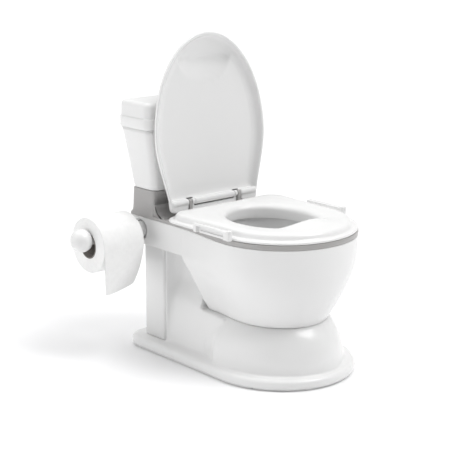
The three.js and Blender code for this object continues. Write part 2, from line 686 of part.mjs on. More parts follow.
function makeRoll() {
  const { y } = SPINDLE;
  const { z, radius, core, bore, left, right } = ROLL;
  addPart('roll_core', ringX(core, bore, left, right, y, z, 32), CARD);
  addPart('paper_roll', ringX(radius, core + GAP, left, right, y, z, 48), PAPER);
  const sheet = new THREE.Shape();
  const near = radius + 0.5;
  const far = near + SHEET.thickness;
  sheet.absarc(y, z, far, SHEET.start, Math.PI);
  sheet.lineTo(y - far - SHEET.drift, SHEET.bottom);
  sheet.lineTo(y - near - SHEET.drift, SHEET.bottom);
  sheet.lineTo(y - near, z);
  sheet.absarc(y, z, near, Math.PI, SHEET.start, true);
  addPart('paper_sheet', extrudeX(sheet, left, right, 10), PAPER);
}

makeBase();
makeBowl();
makeRimDeck();
makeTank();
makeSeat();
makeLid();
makePot();
makeHolder();
makeRoll();

export default group;
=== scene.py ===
"""Potty training chair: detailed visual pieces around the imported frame. Blender 4.5, metres.

Lengths below are written in millimetres and scaled by MM when a mesh is made.
Levels are (height, inset) pairs along a section; a plan is a closed outline seen from above.
"""

import json
import math

import bmesh
import bpy
import numpy as np
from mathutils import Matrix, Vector


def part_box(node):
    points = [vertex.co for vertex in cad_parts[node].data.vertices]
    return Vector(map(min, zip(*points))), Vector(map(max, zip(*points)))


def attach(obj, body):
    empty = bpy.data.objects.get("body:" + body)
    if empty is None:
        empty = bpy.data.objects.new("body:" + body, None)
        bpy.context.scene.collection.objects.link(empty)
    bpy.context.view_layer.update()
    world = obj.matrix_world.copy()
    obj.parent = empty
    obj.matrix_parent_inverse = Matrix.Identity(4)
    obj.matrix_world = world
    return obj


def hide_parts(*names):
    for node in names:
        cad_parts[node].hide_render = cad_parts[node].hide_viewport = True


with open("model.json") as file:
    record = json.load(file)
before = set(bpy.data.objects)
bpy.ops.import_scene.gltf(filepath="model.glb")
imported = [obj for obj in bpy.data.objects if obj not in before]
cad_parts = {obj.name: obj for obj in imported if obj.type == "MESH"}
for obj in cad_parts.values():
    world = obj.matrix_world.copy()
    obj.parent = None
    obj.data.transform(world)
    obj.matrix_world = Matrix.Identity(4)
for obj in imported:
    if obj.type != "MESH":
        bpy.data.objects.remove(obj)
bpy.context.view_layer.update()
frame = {"nodes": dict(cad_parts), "record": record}

MM = 0.001


def node_box(name):
    """The lowest and highest corner of a CAD node, in millimetres."""
    low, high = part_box(name)
    return [c / MM for c in low], [c / MM for c in high]


# ---------------------------------------------------------------- camera

VIEW_AZIMUTH = math.radians(-40.8)
VIEW_ELEVATION = math.radians(14.1)
VIEW_TARGET = Vector((0.0, 0.0696, 0.208))
VIEW_DISTANCE = 2.1667
VIEW_LENS = 103.3


def make_camera():
    data = bpy.data.cameras.new("camera")
    data.lens = VIEW_LENS
    data.sensor_width = 36
    data.clip_end = 50
    camera = bpy.data.objects.new("camera", data)
    direction = Vector((
        math.sin(VIEW_AZIMUTH) * math.cos(VIEW_ELEVATION),
        -math.cos(VIEW_AZIMUTH) * math.cos(VIEW_ELEVATION),
        math.sin(VIEW_ELEVATION),
    ))
    camera.location = VIEW_TARGET + direction * VIEW_DISTANCE
    camera.rotation_euler = (-direction).to_track_quat("-Z", "Y").to_euler()
    bpy.context.collection.objects.link(camera)
    bpy.context.scene.camera = camera


# ---------------------------------------------------------------- materials


NOISE_LOW, NOISE_HIGH = 0.3, 0.7    # the range that a noise texture mostly stays in


class Nodes:
    """A small helper around one material's node tree."""

    def __init__(self, name):
        self.material = bpy.data.materials.new(name)
        self.material.use_nodes = True
        self.tree = self.material.node_tree
        self.shader = self.tree.nodes["Principled BSDF"]
        self.coords = self.tree.nodes.new("ShaderNodeTexCoord")

    def add(self, kind):
        return self.tree.nodes.new(kind)

    def link(self, source, target):
        self.tree.links.new(source, target)

    def noise(self, scale, detail=3.0, roughness=0.5, stretch=None):
        noise = self.add("ShaderNodeTexNoise")
        noise.inputs["Scale"].default_value = scale
        noise.inputs["Detail"].default_value = detail
        noise.inputs["Roughness"].default_value = roughness
        if stretch:
            mapping = self.add("ShaderNodeMapping")
            mapping.inputs["Scale"].default_value = stretch
            self.link(self.coords.outputs["Object"], mapping.inputs["Vector"])
            self.link(mapping.outputs["Vector"], noise.inputs["Vector"])
        else:
            self.link(self.coords.outputs["Object"], noise.inputs["Vector"])
        return noise.outputs["Fac"]

    def ramp(self, factor, low, high):
        ramp = self.add("ShaderNodeValToRGB")
        ramp.color_ramp.elements[0].position = NOISE_LOW
        ramp.color_ramp.elements[1].position = NOISE_HIGH
        ramp.color_ramp.elements[0].color = (*low, 1)
        ramp.color_ramp.elements[1].color = (*high, 1)
        self.link(factor, ramp.inputs["Fac"])
        return ramp.outputs["Color"]

    def map_range(self, factor, low, high):
        node = self.add("ShaderNodeMapRange")
        node.inputs["From Min"].default_value = NOISE_LOW
        node.inputs["From Max"].default_value = NOISE_HIGH
        node.inputs["To Min"].default_value = low
        node.inputs["To Max"].default_value = high
        self.link(factor, node.inputs["Value"])
        return node.outputs["Result"]

    def bump(self, height, strength, distance, under=None):
        node = self.add("ShaderNodeBump")
        node.inputs["Strength"].default_value = strength
        node.inputs["Distance"].default_value = distance
        self.link(height, node.inputs["Height"])
        if under:
            self.link(under, node.inputs["Normal"])
        return node.outputs["Normal"]


def plastic(name, colour, roughness):
    """Injection-moulded polypropylene: faint flow marks and a fine grain under a thin gloss."""
    nodes = Nodes(name)
    darker = [c * 0.985 for c in colour]
    nodes.link(nodes.ramp(nodes.noise(5, 3), darker, colour), nodes.shader.inputs["Base Color"])
    nodes.shader.inputs["Roughness"].default_value = roughness
    grain = nodes.bump(nodes.noise(420, 2, 0.5), 0.03, 0.0001)
    nodes.link(grain, nodes.shader.inputs["Normal"])
    nodes.shader.inputs["IOR"].default_value = 1.49
    nodes.shader.inputs["Coat Weight"].default_value = 0.2
    nodes.shader.inputs["Coat Roughness"].default_value = 0.14
    return nodes.material


def rubber(name):
    nodes = Nodes(name)
    nodes.link(nodes.ramp(nodes.noise(60, 5), (0.03, 0.03, 0.03), (0.055, 0.055, 0.055)),
               nodes.shader.inputs["Base Color"])
    nodes.link(nodes.map_range(nodes.noise(300, 3), 0.75, 0.92), nodes.shader.inputs["Roughness"])
    nodes.link(nodes.bump(nodes.noise(1500, 3), 0.4, 0.0003), nodes.shader.inputs["Normal"])
    return nodes.material


def steel(name):
    nodes = Nodes(name)
    streaks = nodes.noise(120, 4, 0.6, stretch=(1, 9, 9))
    nodes.link(nodes.ramp(streaks, (0.5, 0.51, 0.53), (0.7, 0.71, 0.72)), nodes.shader.inputs["Base Color"])
    nodes.link(nodes.map_range(streaks, 0.24, 0.4), nodes.shader.inputs["Roughness"])
    nodes.link(nodes.bump(streaks, 0.12, 0.0002), nodes.shader.inputs["Normal"])
    nodes.shader.inputs["Metallic"].default_value = 1
    return nodes.material


def tissue(name, embossed=True):
    """Soft white tissue: loose fibres, a fine crepe and, on the plies, an embossed dot grid."""
    nodes = Nodes(name)
    nodes.link(nodes.ramp(nodes.noise(130, 6, 0.65), (0.9, 0.9, 0.895), (0.95, 0.95, 0.945)),
               nodes.shader.inputs["Base Color"])
    nodes.shader.inputs["Roughness"].default_value = 0.95
    nodes.shader.inputs["Sheen Weight"].default_value = 0.25
    nodes.shader.inputs["Sheen Roughness"].default_value = 0.5
    nodes.shader.inputs["Specular IOR Level"].default_value = 0.2
    fibres = nodes.bump(nodes.noise(900, 5, 0.7), 0.25, 0.0003)
    crepe = nodes.bump(nodes.noise(160, 3, 0.5, stretch=(1, 6, 6)), 0.2, 0.0004, fibres)
    normal = crepe
    if embossed:
        cells = nodes.add("ShaderNodeTexVoronoi")
        cells.inputs["Scale"].default_value = 190
        cells.inputs["Randomness"].default_value = 0.15
        nodes.link(nodes.coords.outputs["Object"], cells.inputs["Vector"])
        normal = nodes.bump(cells.outputs["Distance"], 0.2, 0.0004, crepe)
    nodes.link(normal, nodes.shader.inputs["Normal"])
    return nodes.material


def cardboard(name):
    nodes = Nodes(name)
    nodes.link(nodes.ramp(nodes.noise(260, 6, 0.7), (0.2, 0.185, 0.17), (0.3, 0.28, 0.26)),
               nodes.shader.inputs["Base Color"])
    nodes.shader.inputs["Roughness"].default_value = 0.92
    nodes.link(nodes.bump(nodes.noise(700, 5, 0.7), 0.4, 0.0004), nodes.shader.inputs["Normal"])
    return nodes.material


def floor_material():
    nodes = Nodes("studio_floor")
    nodes.link(nodes.ramp(nodes.noise(3, 2), (0.93, 0.93, 0.935), (0.95, 0.95, 0.955)),
               nodes.shader.inputs["Base Color"])
    nodes.shader.inputs["Roughness"].default_value = 0.55
    nodes.shader.inputs["Specular IOR Level"].default_value = 0.15
    return nodes.material


WHITE = plastic("white_plastic", (0.85, 0.85, 0.847), 0.27)
GREY = plastic("grey_plastic", (0.42, 0.41, 0.405), 0.3)
POT_WHITE = plastic("pot_plastic", (0.74, 0.74, 0.74), 0.24)
RUBBER = rubber("pad_rubber")
STEEL = steel("screw_steel")
TISSUE = tissue("paper")
ROLL_END = tissue("paper_roll_end", embossed=False)
CARD = cardboard("cardboard")

# ---------------------------------------------------------------- mesh tools


def mesh_object(name, verts, faces, material):
    mesh = bpy.data.meshes.new(name)
    mesh.from_pydata([tuple(float(c) * MM for c in v) for v in verts], [], faces)
    mesh.validate()
    mesh.materials.append(material)
    obj = bpy.data.objects.new(name, mesh)
    bpy.context.collection.objects.link(obj)
    face_outward(mesh)
    mesh.polygons.foreach_set("use_smooth", [True] * len(mesh.polygons))
    return obj


def face_outward(mesh):
    shape = bmesh.new()
    shape.from_mesh(mesh)
    bmesh.ops.recalc_face_normals(shape, faces=shape.faces)
    shape.to_mesh(mesh)
    shape.free()


def ring_faces(rows, count, closed):
    faces = []
    for row in range(rows if closed else rows - 1):
        for i in range(count):
            j = (i + 1) % count
            here, there = row * count, ((row + 1) % rows) * count
            faces.append((here + i, here + j, there + j, there + i))
    return faces


def loft(name, rings, material, closed=False):
    """A closed mesh through rings of equal count: a tube with capped ends, or a ring of rings."""
    count = len(rings[0])
    verts = [v for ring in rings for v in ring]
    faces = ring_faces(len(rings), count, closed)
    if not closed:
        for start in (0, (len(rings) - 1) * count):
            centre = np.mean(verts[start:start + count], axis=0)
            verts.append(tuple(centre))
            hub = len(verts) - 1
            faces += [(start + i, start + (i + 1) % count, hub) for i in range(count)]
    return mesh_object(name, verts, faces, material)


def ease(xs, ys, x):
    """Smooth monotone curve through a few points."""
    xs, ys = np.asarray(xs, float), np.asarray(ys, float)
    slope = np.diff(ys) / np.diff(xs)
    tangent = np.concatenate([[slope[0]], (slope[:-1] + slope[1:]) / 2, [slope[-1]]])
    for i in range(1, len(xs) - 1):
        if slope[i - 1] * slope[i] <= 0:
            tangent[i] = 0
        else:
            tangent[i] = 2 * slope[i - 1] * slope[i] / (slope[i - 1] + slope[i])
    k = np.clip(np.searchsorted(xs, x) - 1, 0, len(xs) - 2)
    h = xs[k + 1] - xs[k]
    t = np.clip((np.asarray(x, float) - xs[k]) / h, 0, 1)
    a = (1 + 2 * t) * (1 - t) ** 2 * ys[k] + t * (1 - t) ** 2 * h * tangent[k]
    return a + t * t * (3 - 2 * t) * ys[k + 1] + t * t * (t - 1) * h * tangent[k + 1]


def smoothstep(low, high, x):
    t = np.clip((x - low) / (high - low), 0, 1)
    return t * t * (3 - 2 * t)


def outline(half, front, centre, rear_half, waist, rear, corner, arcs=30):
    """Plan outline with a half-elliptical front, a straight back and rounded rear corners."""
    side = []
    for i in range(arcs + 1):
        angle = i / arcs * math.pi / 2
        side.append((half * math.sin(angle), centre - (centre - front) * math.cos(angle)))
    for t in np.linspace(0, 1, 9)[1:]:
        bulge = half + (rear_half - half) * smoothstep(0, 1, t)
        side.append((bulge, centre + (waist - centre) * t))
    for t in np.linspace(0, 1, 6)[1:-1]:
        side.append((rear_half, waist + (rear - corner - waist) * t))
    for i in range(9):
        angle = i / 8 * math.pi / 2
        x = rear_half - corner + corner * math.cos(angle)
        side.append((x, rear - corner + corner * math.sin(angle)))
    for t in np.linspace(0, 1, 8)[1:-1]:
        side.append(((rear_half - corner) * (1 - t), rear))
    mirrored = [(-x, y) for x, y in reversed(side[1:])]
    return side + mirrored


def rectangle(half, front, rear, corner, steps=8):
    points = []
    corners = [
        (half - corner, front + corner, -0.5),
        (half - corner, rear - corner, 0),
        (corner - half, rear - corner, 0.5),
        (corner - half, front + corner, 1),
    ]
    for x, y, turn in corners:
        for i in range(steps + 1):
            angle = (turn + 0.5 * i / steps) * math.pi
            points.append((x + corner * math.cos(angle), y + corner * math.sin(angle)))
    return points


def at(points, z):
    return [(x, y, z) for x, y in points]


def polar(points, centre, count):
    """Radii of a star-shaped outline about centre, at count even angles."""
    p = np.asarray(points) - np.asarray(centre)
    angle = np.arctan2(p[:, 1], p[:, 0])
    radius = np.hypot(p[:, 0], p[:, 1])
    order = np.argsort(angle)
    angle, radius = angle[order], radius[order]
    around = np.concatenate([angle - 2 * math.pi, angle, angle + 2 * math.pi])
    wanted = np.linspace(-math.pi, math.pi, count, endpoint=False)
    return wanted, np.interp(wanted, around, np.tile(radius, 3))


def box_mesh(name, x, y, z, material, bevel=1.0):
    """A box with rounded edges, from its (low, high) spans."""
    shape = bmesh.new()
    bmesh.ops.create_cube(shape, size=1)
    for vert in shape.verts:
        for axis, (low, high) in enumerate((x, y, z)):
            vert.co[axis] = (high if vert.co[axis] > 0 else low) * MM
    bmesh.ops.bevel(shape, geom=shape.edges[:], offset=bevel * MM, segments=3, affect="EDGES", profile=0.5)
    mesh = bpy.data.meshes.new(name)
    shape.to_mesh(mesh)
    shape.free()
    mesh.materials.append(material)
    obj = bpy.data.objects.new(name, mesh)
    bpy.context.collection.objects.link(obj)
    return obj


def turned_x(name, profile, y, z, material, closed=False, count=96):
    """A body of revolution about an axis along X, from (x, radius) points."""
    rings = []
    for x, radius in profile:
        ring = []
        for i in range(count):
            angle = 2 * math.pi * i / count
            ring.append((x, y + radius * math.cos(angle), z + radius * math.sin(angle)))
        rings.append(ring)
    return loft(name, rings, material, closed)


def rounded(profile, radius, steps=4):
    """Rounds the corners of an open (x, y) profile."""
    points = [profile[0]]
    for before, here, after in zip(profile, profile[1:], profile[2:]):
        before, here, after = map(np.asarray, (before, here, after))
        reach = min(radius, np.linalg.norm(before - here) / 2.1, np.linalg.norm(after - here) / 2.1)
        start = here + (before - here) / np.linalg.norm(before - here) * reach
        end = here + (after - here) / np.linalg.norm(after - here) * reach
        for t in np.linspace(0, 1, steps + 1):
            points.append(tuple((1 - t) ** 2 * start + 2 * t * (1 - t) * here + t * t * end))
    points.append(profile[-1])
    return points


def apply_modifiers(obj):
    graph = bpy.context.evaluated_depsgraph_get()
    mesh = bpy.data.meshes.new_from_object(obj.evaluated_get(graph))
    obj.modifiers.clear()
    obj.data = mesh


def cut(obj, tool):
    modifier = obj.modifiers.new("cut", "BOOLEAN")
    modifier.operation = "DIFFERENCE"
    modifier.solver = "EXACT"
    modifier.object = tool
    apply_modifiers(obj)
    bpy.data.objects.remove(tool)


def crisp(obj, angle=32):
    """Smooth shading with the real corners kept sharp."""
    obj.data.polygons.foreach_set("use_smooth", [True] * len(obj.data.polygons))
    obj.data.set_sharp_from_angle(angle=math.radians(angle))


def union(name, parts):
    """Joins overlapping closed parts exactly, so the fine edges stay."""
    whole = parts[0]
    for part in parts[1:]:
        modifier = whole.modifiers.new("join", "BOOLEAN")
        modifier.operation = "UNION"
        modifier.solver = "EXACT"
        modifier.object = part
        apply_modifiers(whole)
        bpy.data.objects.remove(part)
    whole.name = name
    crisp(whole)
    return whole


def fuse(name, parts, voxel, smooth_steps):
    """Melts overlapping closed parts into one moulding with soft inner corners."""
    material = parts[0].data.materials[0]
    verts, faces = [], []
    for part in parts:
        base = len(verts)
        verts += [v.co / MM for v in part.data.vertices]
        faces += [[base + i for i in p.vertices] for p in part.data.polygons]
        bpy.data.objects.remove(part)
    obj = mesh_object(name, verts, faces, material)
    remesh = obj.modifiers.new("remesh", "REMESH")
    remesh.mode = "VOXEL"
    remesh.voxel_size = voxel * MM
    remesh.use_smooth_shade = True
    soften = obj.modifiers.new("soften", "SMOOTH")
    soften.factor = 0.5
    soften.iterations = smooth_steps
    apply_modifiers(obj)
    return obj


# ---------------------------------------------------------------- dimensions shared by several pieces

base_low, base_high = node_box("pedestal")
bowl_low, bowl_high = node_box("bowl_shell")
deck_low, deck_high = node_box("rim_deck")
tank_low, tank_high = node_box("tank")
cover_low, cover_high = node_box("tank_lid")
column_low, column_high = node_box("rear_column")
pot_low, pot_high = node_box("pot")
roll_low, roll_high = node_box("paper_roll")
core_low, core_high = node_box("roll_core")
socket_low, socket_high = node_box("holder_socket")
spindle_low, spindle_high = node_box("spindle")
sheet_low, sheet_high = node_box("paper_sheet")
seat_high = node_box("seat")[1]
knob_high = node_box("spindle_knob")[1]

hinge = next(joint for joint in frame["record"]["behaviour"]["joints"] if joint["name"] == "lid_hinge")
HINGE_Y, HINGE_Z = (c / MM for c in hinge["pos_m"][1:])
GAP = 0.3
WALL = 3.5
BOWL_HALF = 121
BOWL_CENTRE = -65
BELL_TOP = bowl_low[2] - GAP
BAND_BOTTOM = 180
BAND_TOP = bowl_high[2]
DECK_HALF = 109
DECK_TOP = BAND_TOP + 4.5
RIM_TOP = pot_high[2] + 0.4
POST_INNER, POST_OUTER = 50, 56
EAR = 5
KNUCKLE = 5
OPENING_Y = (pot_low[1] + pot_high[1]) / 2


def edge_levels(z, rise, inset, steps=8):
    """Heights and insets round an edge, from an upright side to a flat top."""
    angles = [i / steps * math.pi / 2 for i in range(1, steps + 1)]
    return [(z + rise * math.sin(angle), inset * (1 - math.cos(angle))) for angle in angles]


# ---------------------------------------------------------------- pedestal and column

PLINTH_TOP = 18
PLINTH_EDGE = 6.5
PLINTH_CENTRE, PLINTH_WAIST, PLINTH_CORNER = -58, 60, 34
ROOT_Z = 8              # bell and web start this deep inside the plinth
BELL_HALF, BELL_REAR_HALF = 110, 97
BELL_WAIST, BELL_REAR, BELL_CORNER = 2, 36, 30
BELL_TOP_SHARE = 0.73   # the bell's plan at its top, as a share of the plan at its foot
WEB_FRONT, WEB_BEND, WEB_FLARE = -20, 72, 97.5


def make_plinth():
    half, front, rear = base_high[0], base_low[1], base_high[1]
    bottom, shoulder = base_low[2], PLINTH_TOP - PLINTH_EDGE
    levels = [(bottom, 1.2), (bottom + 0.5, 0.35), (bottom + 1.4, 0), (shoulder, 0)]
    levels += edge_levels(shoulder, PLINTH_EDGE, PLINTH_EDGE)
    rings = []
    for z, by in levels:
        corner = PLINTH_CORNER - by
        plan = outline(half - by, front + by, PLINTH_CENTRE, half - by, PLINTH_WAIST, rear - by, corner)
        rings.append(at(plan, z))
    return loft("plinth", rings, WHITE)


def make_bell():
    heights = np.linspace(ROOT_Z, BELL_TOP, 26)
    levels = [ROOT_Z, 32, 52, 68, 79, BELL_TOP]
    spread = ease(levels, [1.0, 0.99, 0.95, 0.885, 0.815, BELL_TOP_SHARE], heights)
    rings = []
    for z, share in zip(heights, spread):
        centre = np.interp(share, [BELL_TOP_SHARE, 1], [-52, -30])
        front = np.interp(share, [BELL_TOP_SHARE, 1], [-144, -173])
        half, rear_half = BELL_HALF * share, BELL_REAR_HALF * share
        plan = outline(half, front, centre, rear_half, BELL_WAIST, BELL_REAR, BELL_CORNER)
        rings.append(at(plan, z))
    return loft("bell", rings, WHITE)


def make_web():
    """The trapway web from bell to column; above the bell its front keeps clear of the bowl's back wall."""
    top = column_high[2]
    heights = np.concatenate([np.linspace(ROOT_Z, BELL_TOP - 2, 20), np.linspace(BELL_TOP, top, 24)])
    half_width = ease([ROOT_Z, 30, 60, 90, 112, 128, top], [97.4, 94, 89, 82, 72, 66, 64], heights)
    rings = []
    for z, half in zip(heights, half_width):
        behind_bowl = np.interp(z, [BELL_TOP, BAND_BOTTOM], [38.8, 58.6])
        rings.append(at(web_outline(half, WEB_FRONT if z < BELL_TOP - 1 else behind_bowl), z))
    return loft("web", rings, WHITE)


def web_outline(half, front):
    """As wide as the column where it meets it, curving in to its own half width in front of that."""
    rear = column_low[1] - GAP
    side = [(half, y) for y in np.linspace(front, WEB_BEND, 7)[:-1]]
    for t in np.linspace(0, 1, 16):
        x = (1 - t) ** 2 * half + 2 * t * (1 - t) * half + t * t * WEB_FLARE
        side.append((x, (1 - t) ** 2 * WEB_BEND + 2 * t * (1 - t) * (rear - 6) + t * t * (rear - 3)))
    side.append((WEB_FLARE, rear))
    return side + [(-x, y) for x, y in reversed(side)]


def make_pedestal():
    pedestal = fuse("pedestal_moulding", [make_plinth(), make_bell(), make_web()], 1.7, 14)
    place(pedestal, "root", "white_plastic", "pedestal")


def make_column():
    low, high = column_low, column_high
    corner = 6
    rings = []
    for z, by in [(low[2], 1), (low[2] + 1, 0), (high[2] - 1, 0), (high[2], 1)]:
        rings.append(at(rectangle(high[0] - by, low[1] + by, high[1] - by, corner - by), z))
    column = loft("column_moulding", rings, WHITE)
    place(column, "root", "white_plastic", "rear_column")


# ---------------------------------------------------------------- bowl

BOWL_FOOT_HALF, BOWL_FOOT_CENTRE, BOWL_FOOT_FRONT = 77, -53, -141
BAND_FRONT = 51


def bowl_ring(z, by):
    levels = [BELL_TOP, 104, 128, 154, 182, 205, BAND_TOP]
    half = ease(levels, [BOWL_FOOT_HALF, 86.5, 99, 110, 118, 120.6, BOWL_HALF], z) - by
    rear_half = ease(levels, [71, 79.5, 90, 100, 108.5, DECK_HALF, DECK_HALF], z) - by
    swell = BOWL_HALF - 2
    centre = np.interp(half + by, [BOWL_FOOT_HALF, swell], [BOWL_FOOT_CENTRE, BOWL_CENTRE])
    fronts = [BOWL_FOOT_FRONT, BOWL_CENTRE - swell, BOWL_CENTRE - BOWL_HALF]
    front = np.interp(half + by, [BOWL_FOOT_HALF, swell, BOWL_HALF], fronts) + by
    waist = ease([BELL_TOP, 154, 190, BAND_TOP], [15, 20, 45, 57], z)
    rear = max(np.interp(z, [BELL_TOP, BAND_BOTTOM], [38, 58]), waist + 4.5) - by
    corner = min(np.interp(z, [150, BAND_BOTTOM], [11, 4]), (rear - waist) * 0.9)
    return at(outline(half, front, centre, rear_half, waist, rear, corner), z)


def make_cup():
    top, bottom = BAND_TOP, bowl_low[2]
    outside = [bowl_ring(z, 0) for z in np.linspace(bottom, top - 0.9, 48)]
    edge_steps = [(top - 0.3, 0.25), (top, 0.9), (top, WALL - 0.7), (top - 0.6, WALL)]
    edge = [bowl_ring(z, by) for z, by in edge_steps]
    inside = [bowl_ring(z, WALL) for z in np.linspace(top - 2, bottom + WALL, 30)]
    return loft("cup", outside + edge + inside, WHITE)


def make_band():
    half, rear, corner = DECK_HALF - 0.05, bowl_high[1], 5
    top, bottom = BAND_TOP, BAND_BOTTOM
    levels = [
        (bottom, 0.8), (bottom + 0.3, 0.2), (bottom + 1, 0), (top - 0.8, 0), (top, 0.8),
        (top, WALL - 0.6), (top - 0.6, WALL), (bottom + WALL, WALL),
    ]
    rings = []
    for z, by in levels:
        rings.append(at(rectangle(half - by, BAND_FRONT + by, rear - by, corner - by / 2), z))
    return loft("band", rings, WHITE)


def make_bowl():
    band = make_band()
    hole_y = (socket_low[1] + socket_high[1]) / 2
    hole_z = (socket_low[2] + socket_high[2]) / 2
    radius = (socket_high[2] - socket_low[2]) / 2 + GAP
    reach = [(-DECK_HALF - 6, radius), (9 - DECK_HALF, radius)]
    cut(band, turned_x("hole", reach, hole_y, hole_z, WHITE))
    bowl = union("bowl_moulding", [make_cup(), band])
    place(bowl, "root", "white_plastic", "bowl_shell")


# ---------------------------------------------------------------- rim, deck and neck

COUNT = 256
NECK_TOP = 272.7
NECK_FRONT, NECK_CORNER = 127, 8
NECK_FILLET = 20
RIM_INSET = 6.7         # from the pot's outer edge to the deck's opening


def loop_rings(plan, oval, centre, steps):
    """Rings between a plan outline and an oval opening: each step is (side, offset, z)."""
    angle, outer = polar(plan, centre, COUNT)
    inner = oval[0] * oval[1] / np.hypot(oval[1] * np.cos(angle), oval[0] * np.sin(angle))
    rings = []
    for side, offset, z in steps:
        radius = outer - offset if side == "outer" else inner + offset
        if side == "between":
            radius = inner + (outer - inner) * offset
        height = z(angle) if callable(z) else np.full(COUNT, z)
        x = centre[0] + radius * np.cos(angle)
        y = centre[1] + radius * np.sin(angle)
        rings.append(list(zip(x, y, height)))
    return rings


def make_slab(oval, centre):
    bottom = deck_low[2]
    plan = outline(BOWL_HALF, BOWL_CENTRE - BOWL_HALF, BOWL_CENTRE, DECK_HALF, 57, deck_high[1], 5)
    return loft("deck_slab", loop_rings(plan, oval, centre, [
        ("inner", 0, bottom), ("between", 0.4, bottom), ("outer", 0.6, bottom), ("outer", 0, bottom + 0.6),
        ("outer", 0, DECK_TOP - 1), ("outer", 0.3, DECK_TOP - 0.3), ("outer", 1, DECK_TOP),
        ("between", 0.4, DECK_TOP), ("inner", 0, DECK_TOP),
    ]), GREY, closed=True)


def make_rim(oval, centre):
    low = deck_low[2] + 1
    plan = outline(BOWL_HALF, BOWL_CENTRE - BOWL_HALF, BOWL_CENTRE, DECK_HALF, 50, 88, 6)
    return loft("rim_ring", loop_rings(plan, oval, centre, [
        ("inner", 0.1, low), ("outer", 0.05, low), ("outer", 0.05, RIM_TOP - 1.4),
        ("outer", 0.5, RIM_TOP - 0.4), ("outer", 1.4, RIM_TOP), ("inner", 7.4, RIM_TOP),
        ("inner", 7.2, RIM_TOP - 2.4), ("inner", 0.1, RIM_TOP - 2.4),
    ]), GREY, closed=True)


def make_neck():
    front = NECK_FRONT
    levels = [
        (DECK_TOP - 2, 108.6, front, 191.7),
        (DECK_TOP + 1, 108.6, front, 191.6),
        (DECK_TOP + 4, 107.6, front, 190.6),
        (DECK_TOP + 7, 107.1, front, 190),
        (DECK_TOP + 12, 106.8, front + 0.2, 189.8),
        (NECK_TOP - 0.8, 106.1, front + 1, 188.2),
        (NECK_TOP, 105.4, front + 1.7, 187.5),
    ]
    rings = [at(rectangle(half, near, far, NECK_CORNER), z) for z, half, near, far in levels]
    return loft("neck", rings, GREY)


def make_fillet():
    """The sweep from the deck up into the neck's front face."""
    radius = NECK_FILLET
    foot, head = DECK_TOP - 1.5, DECK_TOP + radius
    section = [(NECK_FRONT + 4, foot), (NECK_FRONT + 4, head)]
    for i in range(25):
        angle = -i / 24 * math.pi / 2
        section.append((NECK_FRONT - radius + radius * math.cos(angle), head + radius * math.sin(angle)))
    section.append((NECK_FRONT - radius, foot))
    end = 105
    rings = []
    for x, by in [(-end, 1), (0.3 - end, 0.3), (1 - end, 0), (end - 1, 0), (end - 0.3, 0.3), (end, 1)]:
        rings.append([(x, y + by * 0.7, z - by * 0.7) for y, z in section])
    return loft("fillet", rings, GREY)


def make_post(side):
    """An upright with a round head that carries one hinge pin."""
    foot = DECK_TOP - 1
    section = [(HINGE_Y + KNUCKLE, foot)]
    for i in range(25):
        angle = i / 24 * math.pi
        section.append((HINGE_Y + KNUCKLE * math.cos(angle), HINGE_Z + KNUCKLE * math.sin(angle)))
    section.append((HINGE_Y - KNUCKLE, foot))
    chamfer = 0.4
    inner, outer = POST_INNER, POST_OUTER
    faces = [(inner, chamfer), (inner + chamfer, 0), (outer - chamfer, 0), (outer, chamfer)]
    rings = []
    for x, by in faces:
        share = 1 - by / KNUCKLE
        ring = []
        for y, z in section:
            ring.append((side * x, HINGE_Y + (y - HINGE_Y) * share, z - by * (z > HINGE_Z)))
        rings.append(ring)
    return loft("post", rings, GREY)


def make_rim_deck():
    centre = (0, OPENING_Y)
    oval = (pot_high[0] - RIM_INSET, (pot_high[1] - pot_low[1]) / 2 - RIM_INSET)
    parts = [make_slab(oval, centre), make_rim(oval, centre), make_neck(), make_fillet()]
    deck = union("deck_moulding", parts + [make_post(side) for side in (-1, 1)])
    place(deck, "root", "grey_plastic", "rim_deck")


# ---------------------------------------------------------------- cistern

TANK_WALL = 3
TANK_CORNER = 12
TANK_FOOT_HALF, TANK_FOOT_FRONT, TANK_FOOT_REAR = 106, 128, 188
COVER_LIP = 393         # where the cover's lower band steps in
COVER_STEP = 2.6
COVER_RISE = 8
COVER_MIDDLE = 164


def tank_ring(z, by):
    """The cistern's plan at height z, wider upward from its foot."""
    low, high = tank_low, tank_high
    share = ease([low[2], high[2] - 12, high[2]], [0, 0.86, 1], z)
    half = TANK_FOOT_HALF + (high[0] - TANK_FOOT_HALF) * share
    front = TANK_FOOT_FRONT + (low[1] - TANK_FOOT_FRONT) * share
    rear = TANK_FOOT_REAR + (high[1] - TANK_FOOT_REAR) * share
    return at(rectangle(half - by, front + by, rear - by, TANK_CORNER - by), z)


def make_tank():
    bottom, top = tank_low[2], tank_high[2]
    rings = []
    for z, by in [(bottom, 1.6), (bottom + 0.6, 0.5)]:
        plan = rectangle(TANK_FOOT_HALF - by, TANK_FOOT_FRONT + by, TANK_FOOT_REAR - by, TANK_CORNER)
        rings.append(at(plan, z))
    heights = list(np.linspace(bottom + 1.6, top, 14))
    rings += [tank_ring(z, 0) for z in heights]
    rings += [tank_ring(z, TANK_WALL) for z in heights[::-1] + [bottom + TANK_WALL]]
    place(loft("tank_moulding", rings, WHITE), "root", "white_plastic", "tank")


def shrunk(ring, shares, z):
    """Smaller copies of a cover ring about the cover's middle, at height z."""
    return [[(p[0] * s, COVER_MIDDLE + (p[1] - COVER_MIDDLE) * s, z) for p in ring] for s in shares]


